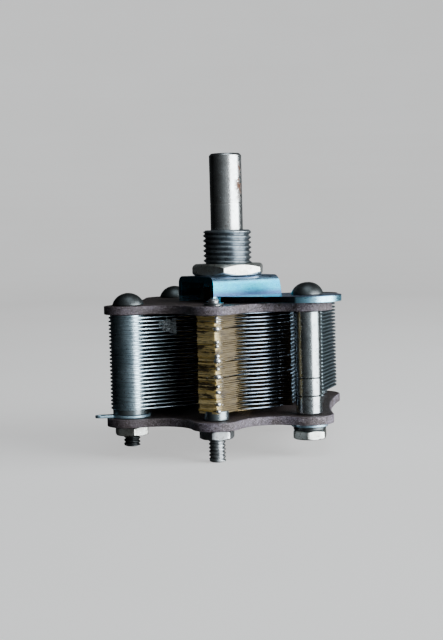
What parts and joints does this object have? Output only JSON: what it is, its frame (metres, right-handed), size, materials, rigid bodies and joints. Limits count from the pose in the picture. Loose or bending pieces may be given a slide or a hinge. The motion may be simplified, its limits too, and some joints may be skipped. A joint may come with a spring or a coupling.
{
  "type": "variable tuning capacitor",
  "caption": "Variable tuning capacitor with interleaved metal plates and amber film between two bakelite end plates, turned by a plain shaft in a threaded bush.",
  "frame": {"origin": "on the shaft axis, at the height of the bracket's top face, where the panel seats against it", "axes": "+Z along the shaft towards the knob end; +Y away from the front stud, towards the rear screws; +X to the right seen from the front stud"},
  "size_m": [0.0492, 0.0481, 0.058],
  "materials": {
    "nickel": "worn nickel plate, dull with warm stains",
    "zinc_plate": "bright plated sheet steel, fine scratches",
    "dark_steel": "oxidised dark steel, satin",
    "plate_metal": "thin rolled sheet, tarnished satin",
    "brass": "dull turned brass",
    "bakelite": "dark brown paper laminate, worn edges",
    "amber_film": "translucent amber varnished film"
  },
  "bodies": {
    "frame": {"top_end_plate": "bakelite", "bottom_end_plate": "bakelite", "mounting_bracket": "zinc_plate", "bracket_rivet": "dark_steel", "threaded_bush": "nickel", "panel_nut": "nickel", "stop_pin": "dark_steel", "stator_plate_pack": "plate_metal", "dielectric_sheet_pack": "amber_film", "film_top_washer": "dark_steel", "film_clamp_washer": "zinc_plate", "screw_front_left": "dark_steel", "screw_front_right": "dark_steel", "screw_rear_left": "dark_steel", "screw_rear_right": "dark_steel", "front_stud": "nickel", "nut_front_left": "nickel", "nut_front_stud": "nickel", "nut_front_right": "nickel", "nut_rear_right": "nickel", "nut_rear_left": "nickel", "stator_washer_front_left": "zinc_plate", "stator_washer_rear_left": "zinc_plate", "stator_washer_rear_right": "zinc_plate", "stator_solder_tag": "zinc_plate", "rotor_solder_tag": "zinc_plate", "rotor_tag_washer": "dark_steel", "pillar_tube_long": "nickel", "pillar_tube_middle": "nickel", "pillar_tube_lower": "nickel", "lower_bearing": "brass"},
    "rotor": {"shaft": "nickel", "rotor_vane_pack": "plate_metal", "stop_cam": "brass", "thrust_washer": "brass", "shaft_retaining_clip": "dark_steel"}
  },
  "joints": [
    {"name": "rotor_turn", "type": "hinge", "parent": "frame", "child": "rotor", "pos_m": [0, 0, 0], "axis": [0, 0, 1], "range_deg": [-90, 90]}
  ]
}
